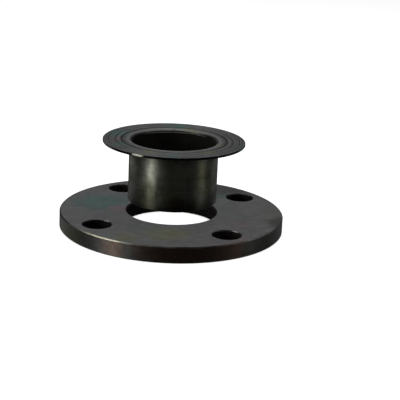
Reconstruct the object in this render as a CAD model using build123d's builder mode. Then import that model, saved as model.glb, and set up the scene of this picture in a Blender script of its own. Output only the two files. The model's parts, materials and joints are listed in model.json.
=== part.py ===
"""Loose lap-joint flange for NPS 2 pipe: a flat backing ring and the thin lapped stub end it slides on.

Millimetres, +Z up along the pipe axis. The origin is the centre of the backing ring's back face, and the
bolt holes straddle the X and Y axes. The two pieces stand apart on one axis: the stub end is drawn up out
of the ring's bore, with its sealing face upwards.
"""
import os
from math import radians, tan

from build123d import *

# Backing ring, with the drilling of a Class 150 NPS 2 flange
RING_DIAMETER = 152.4
RING_THICKNESS = 11.0
RING_BORE = 61.1
BOLT_CIRCLE = 120.65
BOLT_HOLE = 19.05
BOLT_HOLE_COUNT = 4
FIRST_HOLE_ANGLE = 45.0
RIM_CHAMFER = 0.7
BORE_CHAMFER = 0.9
HOLE_CHAMFER = 0.5

# Stub end: a short length of thin pipe with one end turned out into a lap, bent at an even thickness
PIPE_DIAMETER = 60.3
WALL = 1.65
STUB_LENGTH = 42.2
LAP_DIAMETER = 96.0
LAP_THICKNESS = 1.65
LAP_RIM_RADIUS = 0.3
NECK_RADIUS = 0.5
MOUTH_RADIUS = NECK_RADIUS + WALL

# Sealing grooves turned in the lap's face, the innermost one wider
GROOVE_RADII = [35.6, 39.9, 44.2]
GROOVE_WIDTHS = [0.9, 0.6, 0.6]
GROOVE_FLOOR_SHARE = 0.4
GROOVE_DEPTH = 0.4

# Weld end: a bevel outside and a narrow square land inside
BEVEL_ANGLE = 37.5
WELD_LAND = 0.5

# Height of the stub end's foot above the ring's front face
LIFT = 7.6

ring_radius = RING_DIAMETER / 2
ring_bore_radius = RING_BORE / 2
bolt_hole_radius = BOLT_HOLE / 2
lap_radius = LAP_DIAMETER / 2
pipe_radius = PIPE_DIAMETER / 2
inner_radius = pipe_radius - WALL
land_radius = inner_radius + WELD_LAND

foot_z = RING_THICKNESS + LIFT
bevel_z = foot_z + (pipe_radius - land_radius) * tan(radians(BEVEL_ANGLE))
face_z = foot_z + STUB_LENGTH
back_z = face_z - LAP_THICKNESS

os.makedirs("parts", exist_ok=True)


# Backing ring: a flat turned plate with a clearance bore and bolt holes, and all its edges broken
with BuildPart() as backing_ring:
    with BuildSketch():
        Circle(ring_radius)
        Circle(ring_bore_radius, mode=Mode.SUBTRACT)
        with PolarLocations(BOLT_CIRCLE / 2, BOLT_HOLE_COUNT, start_angle=FIRST_HOLE_ANGLE):
            Circle(bolt_hole_radius, mode=Mode.SUBTRACT)
    extrude(amount=RING_THICKNESS)

    # Hole edges are the smallest circles, the rim's are the largest
    holes, bore, rim = backing_ring.edges().filter_by(GeomType.CIRCLE).group_by(SortBy.RADIUS)
    chamfer(holes, HOLE_CHAMFER)
    chamfer(bore, BORE_CHAMFER)
    chamfer(rim, RIM_CHAMFER)

backing_ring.part.label = "backing_ring"


# Stub end: half its section in the XZ plane, turned about the pipe axis, then grooved
with BuildPart() as stub_end:
    with BuildSketch(Plane.XZ) as section:
        with BuildLine():
            Polyline(
                (inner_radius, foot_z),
                (land_radius, foot_z),
                (pipe_radius, bevel_z),
                (pipe_radius, back_z),
                (lap_radius, back_z),
                (lap_radius, face_z),
                (inner_radius, face_z),
                close=True,
            )
        make_face()
        fillet(section.vertices().group_by(Axis.X)[-1], LAP_RIM_RADIUS)
        fillet(section.vertices().sort_by_distance((pipe_radius, back_z))[0], NECK_RADIUS)
        fillet(section.vertices().sort_by_distance((inner_radius, face_z))[0], MOUTH_RADIUS)
    revolve(axis=Axis.Z)

    with BuildSketch(Plane.XZ):
        for radius, width in zip(GROOVE_RADII, GROOVE_WIDTHS):
            floor_width = width * GROOVE_FLOOR_SHARE
            with Locations((radius, face_z)):
                Polygon(
                    (-width / 2, 0),
                    (-floor_width / 2, -GROOVE_DEPTH),
                    (floor_width / 2, -GROOVE_DEPTH),
                    (width / 2, 0),
                    align=None,
                )
    revolve(axis=Axis.Z, mode=Mode.SUBTRACT)

stub_end.part.label = "stub_end"


export_step(backing_ring.part, "parts/backing_ring.step")
export_step(stub_end.part, "parts/stub_end.step")
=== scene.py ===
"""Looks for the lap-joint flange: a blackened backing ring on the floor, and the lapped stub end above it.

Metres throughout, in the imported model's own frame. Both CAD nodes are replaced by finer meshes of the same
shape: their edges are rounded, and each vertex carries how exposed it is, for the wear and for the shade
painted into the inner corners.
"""

import json
import math

import bmesh
import bpy
from mathutils import Matrix, Quaternion, Vector


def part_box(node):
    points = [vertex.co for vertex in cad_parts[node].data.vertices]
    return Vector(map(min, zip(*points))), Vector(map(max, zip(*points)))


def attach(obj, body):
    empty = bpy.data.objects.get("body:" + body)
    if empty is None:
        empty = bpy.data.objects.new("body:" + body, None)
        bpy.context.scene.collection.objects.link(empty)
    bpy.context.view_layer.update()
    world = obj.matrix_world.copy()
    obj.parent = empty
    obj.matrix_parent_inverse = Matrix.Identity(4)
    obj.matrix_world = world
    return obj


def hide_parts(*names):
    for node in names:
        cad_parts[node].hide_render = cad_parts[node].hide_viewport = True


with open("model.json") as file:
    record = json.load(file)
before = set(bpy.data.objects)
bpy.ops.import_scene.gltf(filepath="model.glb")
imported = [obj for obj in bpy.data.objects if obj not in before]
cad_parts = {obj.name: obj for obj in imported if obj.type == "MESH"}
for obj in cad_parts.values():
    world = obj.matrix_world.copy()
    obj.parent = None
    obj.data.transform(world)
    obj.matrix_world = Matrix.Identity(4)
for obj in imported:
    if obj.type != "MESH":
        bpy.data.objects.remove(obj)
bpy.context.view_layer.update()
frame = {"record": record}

MM = 0.001
FULL_TURN = 2 * math.pi

# ---------------------------------------------------------------- sizes

mounts = {mount["name"]: mount["dims"] for mount in frame["record"]["mounts"]}
_, ring_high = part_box("backing_ring")
stub_low, stub_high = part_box("stub_end")

# Backing ring
RING_RADIUS = ring_high.x
RING_TOP = ring_high.z
RING_BORE_RADIUS = 30.55 * MM
BOLT_CIRCLE_RADIUS = mounts["bolt_holes"]["pcd_mm"] / 2 * MM
BOLT_HOLE_RADIUS = mounts["bolt_holes"]["hole_r_mm"] * MM
BOLT_HOLE_COUNT = mounts["bolt_holes"]["count"]
FIRST_HOLE_ANGLE = math.radians(45)
RIM_CHAMFER = 0.7 * MM
BORE_CHAMFER = 0.9 * MM
HOLE_CHAMFER = 0.5 * MM

# Stub end
LAP_RADIUS = stub_high.x
LAP_THICKNESS = 1.65 * MM
FACE_Z = stub_high.z
FOOT_Z = stub_low.z
PIPE_RADIUS = 30.15 * MM
INNER_RADIUS = mounts["flow_bore"]["r_mm"] * MM
WELD_LAND = 0.5 * MM
BEVEL_ANGLE = math.radians(37.5)
NECK_RADIUS = 0.5 * MM
MOUTH_RADIUS = NECK_RADIUS + LAP_THICKNESS
LAP_RIM_RADIUS = 0.35 * MM

# Sealing grooves in the lap's face: radius and width of each
GROOVES = [(35.6 * MM, 0.9 * MM), (39.9 * MM, 0.6 * MM), (44.2 * MM, 0.6 * MM)]
GROOVE_FLOOR_SHARE = 0.4
GROOVE_DEPTH = 0.4 * MM

# Camera
CAMERA_AZIMUTH = math.radians(8.2)
CAMERA_ELEVATION = math.radians(17.6)
CAMERA_ROLL = math.radians(2.14)
CAMERA_PAN = math.radians(1.43)
CAMERA_TILT = math.radians(0.51)
CAMERA_DISTANCE = 10.25 * RING_RADIUS
CAMERA_LENS_MM = 102.6

# ---------------------------------------------------------------- meshes

# Rounding of an edge that was only deburred, and the flat strip beside each rounding
BROKEN_EDGE = 0.12 * MM
MARGIN = 0.1 * MM

# Faces round the rim and the lap, round the ring's bore and round a bolt hole
RIM_STEPS = 288
BORE_STEPS = 192
HOLE_STEPS = 96

# Upright part of a normal from which a surface counts as a flat face, and from which it counts as a chamfer
FACE_SLOPE = 0.8
CHAMFER_SLOPE = 0.4


def arc(centre, start, end, turn):
    """Points of the arc about centre from start to end, about 15 degrees or, in a slight turn, less apart."""
    first, last = start - centre, end - centre
    sweep = math.atan2(first.x * last.y - first.y * last.x, first.dot(last))
    steps = max(3, round(turn / math.radians(15)))
    return [centre + Matrix.Rotation(sweep * step / steps, 2) @ first for step in range(steps + 1)]


def rounded(corners, closed=False):
    """Points (r, z, edge) along a polyline of corners (r, z, radius), each corner turned into an arc.

    edge is 1 on an arc that stands out of the metal, -1 on one that sinks into it, and 0 on the flats. The
    section runs with the metal on its left.
    """
    points = []
    last = len(corners) - 1
    for index, (r, z, radius) in enumerate(corners):
        if not closed and index in (0, last):
            points.append((r, z, 0.0))
            continue
        here = Vector((r, z))
        before = Vector(corners[index - 1][:2]) - here
        after = Vector(corners[(index + 1) % len(corners)][:2]) - here
        back, ahead = before.normalized(), after.normalized()
        turn = math.pi - before.angle(after)
        cut = radius * math.tan(turn / 2)
        centre = here + (back + ahead).normalized() * radius / math.cos(turn / 2)
        left_turn = after.x * before.y - after.y * before.x > 0
        edge = 1.0 if left_turn else -1.0
        lead = here + back * min(cut + MARGIN, before.length * 0.45)
        trail = here + ahead * min(cut + MARGIN, after.length * 0.45)
        points.append((*lead, 0.0))
        points += [(*point, edge) for point in arc(centre, here + back * cut, here + ahead * cut, turn)]
        points.append((*trail, 0.0))
    return points


def add_loops(bm, edge_layer, section, steps, centre=(0.0, 0.0), closed=False):
    """Turns a section (r, z, edge) about a vertical axis and returns its first and last loops."""
    loops = []
    for r, z, edge in section:
        loop = []
        for step in range(steps):
            angle = FULL_TURN * step / steps
            vert = bm.verts.new((centre[0] + r * math.cos(angle), centre[1] + r * math.sin(angle), z))
            vert[edge_layer] = edge
            loop.append(vert)
        loops.append(loop)
    pairs = list(zip(loops, loops[1:]))
    if closed:
        pairs.append((loops[-1], loops[0]))
    for near, far in pairs:
        for step in range(steps):
            after = (step + 1) % steps
            bm.faces.new((near[step], near[after], far[after], far[step]))
    return loops[0], loops[-1]


def finish_mesh(bm, name, body, node, steels, surface_of):
    """Makes the piece from bm and hands it to the frame in place of its CAD node.

    surface_of takes a face's radius, height and upright part of its normal, and names its steel in steels.
    """
    bmesh.ops.recalc_face_normals(bm, faces=bm.faces)
    surfaces = list(steels)
    for face in bm.faces:
        centre = face.calc_center_median()
        face.material_index = surfaces.index(surface_of(centre.xy.length, centre.z, face.normal.z))
    mesh = bpy.data.meshes.new(name)
    bm.to_mesh(mesh)
    bm.free()
    mesh.shade_smooth()
    for steel in steels.values():
        mesh.materials.append(steel)
    piece = bpy.data.objects.new(name, mesh)
    bpy.context.scene.collection.objects.link(piece)
    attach(piece, body)
    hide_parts(node)
    return piece


def wall_section(radius, chamfer, outward):
    """Section of one round wall of the ring, from its front face to its back face.

    outward is 1 for the rim, where the metal lies inside the radius, and -1 for a hole. Every corner stands
    out of the metal, whichever way the section runs.
    """
    reach = chamfer + 4 * MARGIN
    corners = [
        (radius - outward * reach, RING_TOP, 0),
        (radius - outward * chamfer, RING_TOP, BROKEN_EDGE),
        (radius, RING_TOP - chamfer, BROKEN_EDGE),
        (radius, chamfer, BROKEN_EDGE),
        (radius - outward * chamfer, 0, BROKEN_EDGE),
        (radius - outward * reach, 0, 0),
    ]
    return [(r, z, abs(edge)) for r, z, edge in rounded(corners)]


def ring_surface(radius, z, upright):
    """Which of the ring's steels a face has."""
    at_rim = radius > RING_RADIUS - RIM_CHAMFER
    if abs(upright) > FACE_SLOPE:
        return "face"
    if abs(upright) > CHAMFER_SLOPE:
        return "edge" if at_rim else "lip"
    return "rim" if at_rim else "hole"


def make_ring(steels):
    """Backing ring: its walls are turned sections, and its two faces fill what is left between them."""
    bm = bmesh.new()
    edge_layer = bm.verts.layers.float.new("edge")
    walls = [
        (wall_section(RING_RADIUS, RIM_CHAMFER, 1), RIM_STEPS, (0.0, 0.0)),
        (wall_section(RING_BORE_RADIUS, BORE_CHAMFER, -1), BORE_STEPS, (0.0, 0.0)),
    ]
    for hole in range(BOLT_HOLE_COUNT):
        angle = FIRST_HOLE_ANGLE + FULL_TURN * hole / BOLT_HOLE_COUNT
        centre = (BOLT_CIRCLE_RADIUS * math.cos(angle), BOLT_CIRCLE_RADIUS * math.sin(angle))
        walls.append((wall_section(BOLT_HOLE_RADIUS, HOLE_CHAMFER, -1), HOLE_STEPS, centre))
    rims = [add_loops(bm, edge_layer, section, steps, centre) for section, steps, centre in walls]
    for side in zip(*rims):
        edges = [bm.edges.get((loop[step - 1], loop[step])) for loop in side for step in range(len(loop))]
        bmesh.ops.triangle_fill(bm, use_beauty=True, use_dissolve=False, edges=edges)
    return finish_mesh(bm, "ring_plate", "ring", "backing_ring", steels, ring_surface)


def in_groove(radius, z):
    """Whether a point of the stub end lies in one of the sealing grooves, below the rounding of its lips."""
    sunk = FACE_Z - GROOVE_DEPTH * 1.01 < z < FACE_Z - GROOVE_DEPTH * 0.2
    return sunk and any(abs(radius - middle) < width / 2 for middle, width in GROOVES)


def stub_surface(radius, z, upright):
    """Which of the stub end's steels a face has."""
    at_rim = radius > LAP_RADIUS - LAP_RIM_RADIUS
    in_front = z > FACE_Z - LAP_THICKNESS / 2
    if radius < INNER_RADIUS + MARGIN or in_groove(radius, z):
        return "inside"
    if upright > FACE_SLOPE or (in_front and not at_rim):
        return "lap"
    return "rim" if at_rim else "pipe"


def stub_section():
    """Closed section of the stub end, from the inside of its foot outwards and up round the lap."""
    back_z = FACE_Z - LAP_THICKNESS
    land_radius = INNER_RADIUS + WELD_LAND
    bevel_z = FOOT_Z + (PIPE_RADIUS - land_radius) * math.tan(BEVEL_ANGLE)
    corners = [
        (INNER_RADIUS, FOOT_Z, BROKEN_EDGE),
        (land_radius, FOOT_Z, BROKEN_EDGE),
        (PIPE_RADIUS, bevel_z, BROKEN_EDGE),
        (PIPE_RADIUS, back_z, NECK_RADIUS),
        (LAP_RADIUS, back_z, LAP_RIM_RADIUS),
        (LAP_RADIUS, FACE_Z, LAP_RIM_RADIUS),
    ]
    for radius, width in reversed(GROOVES):
        half, half_floor = width / 2, width * GROOVE_FLOOR_SHARE / 2
        corners += [
            (radius + half, FACE_Z, BROKEN_EDGE / 4),
            (radius + half_floor, FACE_Z - GROOVE_DEPTH, BROKEN_EDGE / 2),
            (radius - half_floor, FACE_Z - GROOVE_DEPTH, BROKEN_EDGE / 2),
            (radius - half, FACE_Z, BROKEN_EDGE / 4),
        ]
    corners.append((INNER_RADIUS, FACE_Z, MOUTH_RADIUS))
    return rounded(corners, closed=True)


def make_stub(steels):
    """Stub end: one closed section turned about the pipe axis."""
    bm = bmesh.new()
    edge_layer = bm.verts.layers.float.new("edge")
    add_loops(bm, edge_layer, stub_section(), RIM_STEPS, closed=True)
    return finish_mesh(bm, "stub_shell", "stub", "stub_end", steels, stub_surface)


# ---------------------------------------------------------------- material tools

OXIDE_IOR = 1.9
DULL_IOR = 1.15

# Colours on the steel, among them painted highlights and painted shade
# Painted shade: the dark painted on the steel where it lies in shade
PAINTED_SHADE = (0.010, 0.009, 0.008)
BARE_STEEL = (0.40, 0.40, 0.38)
# Painted highlight on the rim's chamfer at the front left
PAINTED_EDGE_HIGHLIGHT = (0.62, 0.60, 0.46)
PINK_GLINT = (0.30, 0.27, 0.26)
PALE_GLINT = (0.16, 0.16, 0.13)
# Random dim tone on the pipe, and painted shade on the ring's top at the right and back and on its rim at the
# far left
DIM_TONE_AND_SHADE = (0.024, 0.025, 0.024)
TEAL = (0.026, 0.086, 0.074)
ROSE = (0.118, 0.064, 0.078)
YELLOWED = (0.094, 0.094, 0.030)
OLIVE = (0.082, 0.082, 0.052)
PALE_OLIVE = (0.094, 0.098, 0.058)
# Olive tint, dark enough to paint shade over the lower part of the pipe's highlight
OLIVE_TINT_AND_SHADE = (0.036, 0.038, 0.025)
RUST_BROWN = (0.085, 0.056, 0.042)
WARM_BROWN = (0.068, 0.050, 0.040)
RED_BROWN = (0.062, 0.036, 0.028)

# Features per metre of the noises that the steel is made of
FINE_LINES = 1400
WIDE_LINES = 330
GRAIN = 2600
SPECKS = 900
MOTTLE = 210
SMEARS = 70
SCRATCH = (40, 4500, 40)

# Noise step over which a film reaches its full strength
FILM_EDGE = 0.16

# How far the end of a band of painted shade wanders, and how high the bump stands
SHADE_RAGGED = 8 * MM
BUMP_HEIGHT = 0.03 * MM


class Graph:
    """Node graph of a material or a world, with short calls for the nodes used here."""

    def __init__(self, owner):
        owner.use_nodes = True
        self.tree = owner.node_tree
        self.tree.nodes.clear()

    def add(self, kind, inputs=None, **settings):
        """A node of that kind. inputs has a value or another node's output for each socket that it feeds."""
        made = self.tree.nodes.new("ShaderNode" + kind)
        for key, value in settings.items():
            setattr(made, key, value)
        for key, value in (inputs or {}).items():
            self.feed(made.inputs[key], value)
        return made

    def feed(self, socket, value):
        """Links the socket to value where that is an output, and sets it to value otherwise."""
        if isinstance(value, bpy.types.NodeSocket):
            self.tree.links.new(value, socket)
        else:
            socket.default_value = value

    def math(self, operation, *values, clamp=False):
        return self.add("Math", dict(enumerate(values)), operation=operation, use_clamp=clamp).outputs[0]

    def remap(self, value, low, high, to_low=0.0, to_high=1.0):
        """value from low..high taken to to_low..to_high, with smooth ends."""
        inputs = {"Value": value, "From Min": low, "From Max": high, "To Min": to_low, "To Max": to_high}
        return self.add("MapRange", inputs, interpolation_type="SMOOTHSTEP").outputs["Result"]

    def noise(self, vector, scale, detail=4.0, roughness=0.55, dimensions="3D"):
        inputs = {"Vector": vector, "Scale": scale, "Detail": detail, "Roughness": roughness}
        return self.add("TexNoise", inputs, noise_dimensions=dimensions).outputs[0]

    def mix(self, factor, first, second):
        """Colours mixed by factor. Sockets 6 and 7, and output 2, are the Mix node's own for colours."""
        made = self.add("Mix", {0: factor}, data_type="RGBA")
        for socket, colour in ((made.inputs[6], first), (made.inputs[7], second)):
            self.feed(socket, colour if isinstance(colour, bpy.types.NodeSocket) else (*colour, 1.0))
        return made.outputs[2]

    def add_up(self, first, *others):
        total = first
        for other in others:
            total = self.math("ADD", total, other)
        return total


def seen(right, away, up):
    """Point of the object frame that lies so many millimetres to the camera's right, away from it and up."""
    return (
        (right * math.cos(CAMERA_AZIMUTH) - away * math.sin(CAMERA_AZIMUTH)) * MM,
        (right * math.sin(CAMERA_AZIMUTH) + away * math.cos(CAMERA_AZIMUTH)) * MM,
        up * MM,
    )


def scratches(g, place, angle, threshold):
    """Fine straight scratches at that angle in plan, about 25 mm long and a fifth of a millimetre wide."""
    along = g.add("Mapping", {"Vector": place, "Rotation": (0, 0, angle), "Scale": SCRATCH}).outputs[0]
    return g.remap(g.noise(along, 1.0, 2.0, 0.5), threshold, threshold + 0.05)


def skin_colour(g, place, smears, oxide, films, stains_and_painted_light):
    """Colour of the oxide skin under its films, its stains and its painted highlights and shade."""
    colour = oxide
    for film, seed, scale, start, strength in films:
        inputs = {"Vector": place, "W": seed, "Scale": scale, "Detail": 3.0}
        patches = g.add("TexNoise", inputs, noise_dimensions="4D").outputs[0]
        colour = g.mix(g.remap(patches, start, start + FILM_EDGE, 0.0, strength), colour, film)
    for stain_and_light, middle, reach_mm, strength in stains_and_painted_light:
        reach = reach_mm * MM
        distance = g.add("VectorMath", {0: place, 1: seen(*middle)}, operation="DISTANCE").outputs["Value"]
        ragged = g.math("MULTIPLY_ADD", smears, reach, distance)
        colour = g.mix(g.remap(ragged, 0.8 * reach, 1.5 * reach, strength, 0.0), colour, stain_and_light)
    return colour


def worn_places(g, edge, smears, specks, scuffed, wear, nicks):
    """Where bare metal shows: on the edges, in the specks and along the scratches."""
    nicked = g.remap(specks, 0.7, 0.76, 0.0, nicks)
    rubbed = g.math("MULTIPLY", g.math("MAXIMUM", edge, 0.0), g.remap(smears, 0.4, 0.62), clamp=True)
    return g.math("MAXIMUM", g.math("MULTIPLY", rubbed, wear), g.math("MAXIMUM", nicked, scuffed))


def painted_shade_places(g, edge, smears, z, painted_shade_bands):
    """Where shade is painted on the steel: darker in its inner corners, and along each band of painted shade.
    """
    painted_shade_mask = g.math("MULTIPLY", edge, -0.8, clamp=True)
    ragged_z = g.math("MULTIPLY_ADD", smears, SHADE_RAGGED, g.math("SUBTRACT", z, SHADE_RAGGED / 2))
    for full_z, clean_z, strength in painted_shade_bands:
        painted_shade_mask = g.math("MAXIMUM", painted_shade_mask, g.remap(ragged_z, full_z, clean_z, strength, 0.0))
    return painted_shade_mask


def blackened_steel(name, oxide, metallic, roughness, films=(), stains_and_painted_light=(), painted_shade_bands=(), turned=0.0, lines=0.0,
                    scuffs=0.0, wear=0.2, nicks=0.35, uneven=0.06, ior=OXIDE_IOR):
    """Blackened, lightly oiled carbon steel.

    oxide       colour of the skin
    films       faint patches of tint all over: colour, seed, patches per metre, noise level where it starts, strength
    stains_and_painted_light  single stains, and painted highlights and shade: colour, middle for seen(),
    millimetres to where it has faded out, strength painted_shade_bands  painted shade that fades out along
    the axis: height of full shade, height of none, strength
    turned      how strongly the lathe's circular marks stretch the gloss
    lines       how much those marks show
    scuffs      how much straight scratches show
    wear        how much bare metal shows on the edges
    nicks       how much bare metal shows in the specks
    uneven      how far the roughness varies
    ior         how strongly the part of the gloss that isn't metallic mirrors
    """
    material = bpy.data.materials.new(name)
    g = Graph(material)
    place = g.add("TexCoord").outputs["Object"]
    x, y, z = g.add("SeparateXYZ", {0: place}).outputs
    radius = g.math("SQRT", g.add_up(g.math("MULTIPLY", x, x), g.math("MULTIPLY", y, y)))
    across = g.add("CombineXYZ", {0: radius, 1: z}).outputs[0]
    edge = g.add("Attribute", attribute_name="edge").outputs["Fac"]

    fine_lines = g.noise(across, FINE_LINES, 3.0, 0.7, "2D")
    wide_lines = g.noise(across, WIDE_LINES, 2.0, 0.6, "2D")
    grain = g.noise(place, GRAIN, 3.0, 0.6)
    specks = g.noise(place, SPECKS, 2.0, 0.5)
    mottle = g.noise(place, MOTTLE, 5.0, 0.6)
    smears = g.noise(place, SMEARS, 6.0, 0.65)
    scored = g.math("MAXIMUM", scratches(g, place, 0.5, 0.66), scratches(g, place, -0.9, 0.68))

    shade = g.add_up(
        g.remap(mottle, 0.3, 0.7, 0.88, 1.12),
        g.remap(grain, 0.3, 0.7, -0.12, 0.12),
        g.remap(fine_lines, 0.35, 0.65, -0.2 * lines, 0.2 * lines),
        g.remap(wide_lines, 0.3, 0.7, -0.22 * lines, 0.22 * lines),
    )
    skin = skin_colour(g, place, smears, oxide, films, stains_and_painted_light)
    shaded = g.add("VectorMath", {0: skin, "Scale": shade}, operation="SCALE").outputs[0]

    worn = worn_places(g, edge, smears, specks, g.math("MULTIPLY", scored, scuffs), wear, nicks)
    # Painted shade: darker in the inner corners and along the bands of painted shade
    painted_shade_mask = painted_shade_places(g, edge, smears, z, painted_shade_bands)
    colour = g.mix(painted_shade_mask, g.mix(worn, shaded, BARE_STEEL), PAINTED_SHADE)

    rough = g.add_up(
        g.remap(smears, 0.3, 0.7, roughness - uneven, roughness + uneven),
        g.remap(grain, 0.3, 0.7, -0.04, 0.04),
        g.math("MULTIPLY", worn, -0.1),
    )
    height = g.add_up(
        g.math("MULTIPLY", fine_lines, lines),
        g.math("MULTIPLY", grain, 0.4),
        g.math("MULTIPLY", mottle, 0.5),
        g.math("MULTIPLY", scored, -0.5 * scuffs),
    )
    bump = g.add("Bump", {"Strength": 0.35, "Distance": BUMP_HEIGHT, "Height": height}).outputs[0]
    tangent = g.add("Tangent", direction_type="RADIAL", axis="Z").outputs[0]
    shader = g.add("BsdfPrincipled", {
        "Base Color": colour, "Roughness": rough, "Normal": bump, "Tangent": tangent,
        "Metallic": metallic, "IOR": ior, "Anisotropic": turned, "Anisotropic Rotation": 0.25,
    })
    g.add("OutputMaterial", {"Surface": shader.outputs[0]})
    return material


# ---------------------------------------------------------------- the ring's steels

ring_steels = {
    "face": blackened_steel(
        "ring_face_black", oxide=(0.078, 0.079, 0.081), metallic=0.4, roughness=0.55, scuffs=0.25,
        films=[(TEAL, 0.0, 18, 0.56, 0.5), (ROSE, 3.7, 22, 0.56, 0.5), (YELLOWED, 7.4, 24, 0.56, 0.12)],
        stains_and_painted_light=[
            (TEAL, (-48, 14, 11), 26, 0.55),
            (TEAL, (38, 38, 11), 11, 0.4),
            (ROSE, (-37, 0, 11), 9, 0.55),
            (ROSE, (47, -27, 11), 11, 0.25),
            (YELLOWED, (-2, -50, 11), 20, 0.4),
            (YELLOWED, (-28, -60, 11), 12, 0.35),
            # Painted shade: the top darker at the far right and at the back right
            (DIM_TONE_AND_SHADE, (76, -20, 11), 18, 0.8),
            (DIM_TONE_AND_SHADE, (38, 56, 11), 26, 0.7),
        ]),
    "edge": blackened_steel(
        "ring_edge_worn", oxide=(0.22, 0.22, 0.20), metallic=1.0, roughness=0.40, lines=0.4, wear=0.4,
        films=[(OLIVE, 2.0, 60, 0.5, 0.4)],
        # Painted light on the rim's chamfer: the two dark stains paint shade at the far left and the front,
        # and the bright one paints its highlight at the front left
        stains_and_painted_light=[
            (PAINTED_SHADE, (-74, -12, 11), 32, 0.95),
            (PAINTED_SHADE, (26, -72, 11), 48, 0.75),
            (PAINTED_EDGE_HIGHLIGHT, (-44, -61, 11), 24, 0.9),
        ]),
    "lip": blackened_steel(
        "ring_lip_black", oxide=(0.05, 0.05, 0.048), metallic=1.0, roughness=0.45, lines=0.4, wear=0.15,
        films=[(ROSE, 2.0, 60, 0.5, 0.6)],
        # Painted glints on the back lips of two bolt holes
        stains_and_painted_light=[(PINK_GLINT, (-42, -29, 11), 3, 0.9), (PINK_GLINT, (42, -41, 11), 3, 0.9)]),
    "rim": blackened_steel(
        "ring_rim_black", oxide=(0.050, 0.050, 0.047), metallic=1.0, roughness=0.54, turned=0.7, lines=0.25,
        films=[(OLIVE, 0.0, 30, 0.52, 0.4), (RUST_BROWN, 3.7, 24, 0.52, 0.5)],
        stains_and_painted_light=[
            # Painted shade: the rim darker at the far left
            (DIM_TONE_AND_SHADE, (-76, -8, 5), 20, 0.7),
            (OLIVE, (-66, -38, 5), 22, 0.7),
            (WARM_BROWN, (-36, -67, 5), 12, 0.8),
            (RED_BROWN, (5, -76, 5), 34, 0.8),
            (RUST_BROWN, (38, -66, 5), 16, 0.8),
        ]),
    # Near-black, painting the shade inside the ring's bore and bolt holes
    "hole": blackened_steel(
        "ring_hole_black", oxide=(0.004, 0.003, 0.003), metallic=0.0, roughness=0.7, lines=0.5, nicks=0.0,
        films=[(RUST_BROWN, 0.0, 60, 0.5, 0.05)], ior=DULL_IOR),
}

# ---------------------------------------------------------------- the stub end's steels

stub_steels = {
    # Near-black, painting the shade inside the pipe and in the sealing grooves
    "inside": blackened_steel(
        "stub_inside_black", oxide=(0.006, 0.006, 0.005), metallic=0.0, roughness=0.7, lines=0.5, nicks=0.0,
        films=[(RUST_BROWN, 0.0, 60, 0.5, 0.05)], ior=DULL_IOR),
    "lap": blackened_steel(
        "stub_lap_black", oxide=(0.056, 0.057, 0.058), metallic=0.4, roughness=0.52, turned=0.3, lines=2.2,
        wear=0.1, films=[(TEAL, 0.0, 40, 0.56, 0.5), (YELLOWED, 3.7, 50, 0.56, 0.4)],
        stains_and_painted_light=[
            (TEAL, (-38, 13, 61), 11, 0.6),
            (TEAL, (4, 39, 61), 7, 0.6),
            (ROSE, (-37, -2, 61), 5, 0.5),
            (YELLOWED, (10, 27, 61), 7, 0.6),
            (YELLOWED, (-16, -34, 61), 7, 0.5),
            (YELLOWED, (22, -30, 61), 6, 0.5),
        ]),
    # Near-black, painting the dark line of shade along the lap's rim, with a painted glint on its front left
    "rim": blackened_steel(
        "stub_rim_black", oxide=(0.004, 0.004, 0.0035), metallic=1.0, roughness=0.38, turned=0.6, lines=0.3,
        wear=0.02, nicks=0.03, films=[(OLIVE, 0.0, 50, 0.56, 0.1)],
        stains_and_painted_light=[(PALE_GLINT, (-23, -42, 60), 5, 0.9)]),
    "pipe": blackened_steel(
        "stub_pipe_black", oxide=(0.116, 0.118, 0.098), metallic=1.0, roughness=0.5, turned=0.85, lines=0.35,
        scuffs=0.15, uneven=0.14, films=[(PALE_OLIVE, 5.1, 60, 0.46, 0.7), (DIM_TONE_AND_SHADE, 9.2, 90, 0.58, 0.4)],
        stains_and_painted_light=[
            # This olive stain also paints shade over the lower part of the pipe's highlight
            (OLIVE_TINT_AND_SHADE, (-16, -25, 30), 11, 0.9),
            (RED_BROWN, (3, -30, 24), 8, 0.7),
            (OLIVE, (20, -23, 44), 10, 0.6),
        ],
        # Painted shade: darker towards the foot, and a painted shadow just under the lap
        painted_shade_bands=[(FOOT_Z, FOOT_Z + 16 * MM, 0.9), (FACE_Z - 3 * MM, FACE_Z - 13 * MM, 0.75)]),
}

# ---------------------------------------------------------------- stage

FLOOR_SIZE = 12
FLOOR_GLOW = 0.75

# Greys of the room from straight down, 0, to straight up, 1
ROOM_STOPS = [(0.0, 0.03), (0.3, 0.11), (0.42, 0.11), (0.5, 0.06), (0.7, 0.06), (1.0, 0.12)]

# Lamps: degrees from the camera's side round to its right, degrees up, distance in metres, size in metres and
# power in watts. Each piece is lit as if it stood alone, so that the stub end throws no shadow on the ring
LAMPS = {
    "backdrop": (180, 40, 1.4, (1.2, 0.8), 0.15),
    "rear_fill": (180, -12, 1.4, (0.15, 0.35), 6),
    "softbox_left": (-92, 55, 1.4, (0.5, 0.5), 2.5),
    "softbox_right": (100, 50, 1.4, (0.5, 0.5), 1.2),
    "strip_left": (-57, 8, 1.3, (0.45, 0.5), 10.8),
    "strip_right": (78, 8, 1.3, (0.45, 0.5), 1.8),
    "flank_left": (-125, -6, 1.3, (1.0, 0.4), 0.9),
    "flank_right": (130, -6, 1.3, (1.0, 0.4), 0.4),
}
# Over each piece, and never mirrored in it
CEILING = (0, 88, 1.4, (1.0, 1.0), 23)
# Behind the stub end, and only mirrored, in the back of its mouth
MOUTH_LIGHT = (180, 78, 1.4, (1.0, 0.25), 6)
# Over the floor
OVERHEAD = (0, 88, 1.4, (1.0, 1.0), 12)


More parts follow.
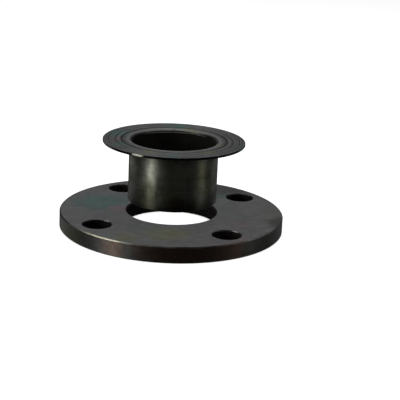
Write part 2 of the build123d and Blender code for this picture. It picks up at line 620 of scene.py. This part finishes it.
def make_floor():
    """A pale floor that glows a little, so that its shadows stay faint, and that doesn't light the steel."""
    bpy.ops.mesh.primitive_plane_add(size=FLOOR_SIZE)
    floor = bpy.context.object
    floor.name = "floor"
    pale = bpy.data.materials.new("floor_pale")
    g = Graph(pale)
    shader = g.add("BsdfPrincipled", {
        "Base Color": (0.9, 0.9, 0.9, 1), "Roughness": 0.9, "Specular IOR Level": 0.1,
        "Emission Color": (1, 1, 1, 1), "Emission Strength": FLOOR_GLOW,
    })
    g.add("OutputMaterial", {"Surface": shader.outputs[0]})
    floor.data.materials.append(pale)
    floor.visible_glossy = False
    floor.visible_diffuse = False
    return floor


def make_world():
    """A dim room, so that the steel stays dark between the lamps' reflections. The camera sees it white."""
    world = bpy.data.worlds.new("room")
    bpy.context.scene.world = world
    g = Graph(world)
    direction = g.add("TexCoord").outputs["Generated"]
    up = g.add("SeparateXYZ", {0: direction}).outputs["Z"]
    height = g.add("MapRange", {"Value": up, "From Min": -1}).outputs[0]
    ramp = g.add("ValToRGB", {0: height})
    by_camera = g.add("LightPath").outputs["Is Camera Ray"]
    background = g.add("Background", {"Color": g.mix(by_camera, ramp.outputs[0], (1, 1, 1))})
    g.add("OutputWorld", {"Surface": background.outputs[0]})
    while len(ramp.color_ramp.elements) < len(ROOM_STOPS):
        ramp.color_ramp.elements.new(0.5)
    for element, (position, grey) in zip(ramp.color_ramp.elements, ROOM_STOPS):
        element.position = position
        element.color = (grey, grey, grey, 1)


def collection_of(name, pieces):
    """A collection of the pieces for light linking, outside the scene."""
    group = bpy.data.collections.new(name)
    for piece in pieces:
        group.objects.link(piece)
    return group


def make_light(name, azimuth, elevation, distance, size, power, lit, shading):
    """A soft area light that faces the object.

    It lights the pieces in lit, and only the pieces in shading cast shadows from it.
    """
    light = bpy.data.lights.new(name, "AREA")
    light.shape = "RECTANGLE"
    light.size, light.size_y = size
    light.energy = power
    lamp = bpy.data.objects.new(name, light)
    bpy.context.scene.collection.objects.link(lamp)
    around, up = CAMERA_AZIMUTH + math.radians(azimuth), math.radians(elevation)
    away = Vector((math.sin(around) * math.cos(up), -math.cos(around) * math.cos(up), math.sin(up)))
    lamp.location = Vector((0, 0, RING_TOP)) + away * distance
    lamp.rotation_mode = "QUATERNION"
    lamp.rotation_quaternion = (-away).to_track_quat("-Z", "Y")
    lamp.visible_camera = False
    lamp.light_linking.receiver_collection = lit
    lamp.light_linking.blocker_collection = shading
    return lamp


def light_piece(piece):
    """Lights the piece as if it stood alone, and returns the collection that holds only it."""
    alone = collection_of("only_" + piece.name, [piece])
    for name, lamp in LAMPS.items():
        make_light(name + "_on_" + piece.name, *lamp, alone, alone)
    make_light("ceiling_on_" + piece.name, *CEILING, alone, alone).visible_glossy = False
    return alone


def make_camera():
    """Camera that looks at the middle of the ring's front face, then rolled, panned and tilted a little."""
    camera = bpy.data.objects.new("camera", bpy.data.cameras.new("camera"))
    bpy.context.scene.collection.objects.link(camera)
    camera.data.lens = CAMERA_LENS_MM
    back = Vector((
        math.sin(CAMERA_AZIMUTH) * math.cos(CAMERA_ELEVATION),
        -math.cos(CAMERA_AZIMUTH) * math.cos(CAMERA_ELEVATION),
        math.sin(CAMERA_ELEVATION),
    ))
    camera.location = Vector((0, 0, RING_TOP)) + back * CAMERA_DISTANCE
    camera.rotation_mode = "QUATERNION"
    camera.rotation_quaternion = (
        (-back).to_track_quat("-Z", "Y")
        @ Quaternion((0, 0, 1), CAMERA_ROLL)
        @ Quaternion((0, 1, 0), -CAMERA_PAN)
        @ Quaternion((1, 0, 0), CAMERA_TILT)
    )
    bpy.context.scene.camera = camera


# ---------------------------------------------------------------- scene

ring_plate = make_ring(ring_steels)
stub_shell = make_stub(stub_steels)

floor = make_floor()
make_world()
light_piece(ring_plate)
only_stub = light_piece(stub_shell)
make_light("mouth_light", *MOUTH_LIGHT, only_stub, only_stub).visible_diffuse = False
only_floor = collection_of("only_floor", [floor])
both_pieces = collection_of("object", [ring_plate, stub_shell])
make_light("overhead", *OVERHEAD, only_floor, both_pieces)
make_camera()
bpy.context.scene.view_settings.view_transform = "Standard"
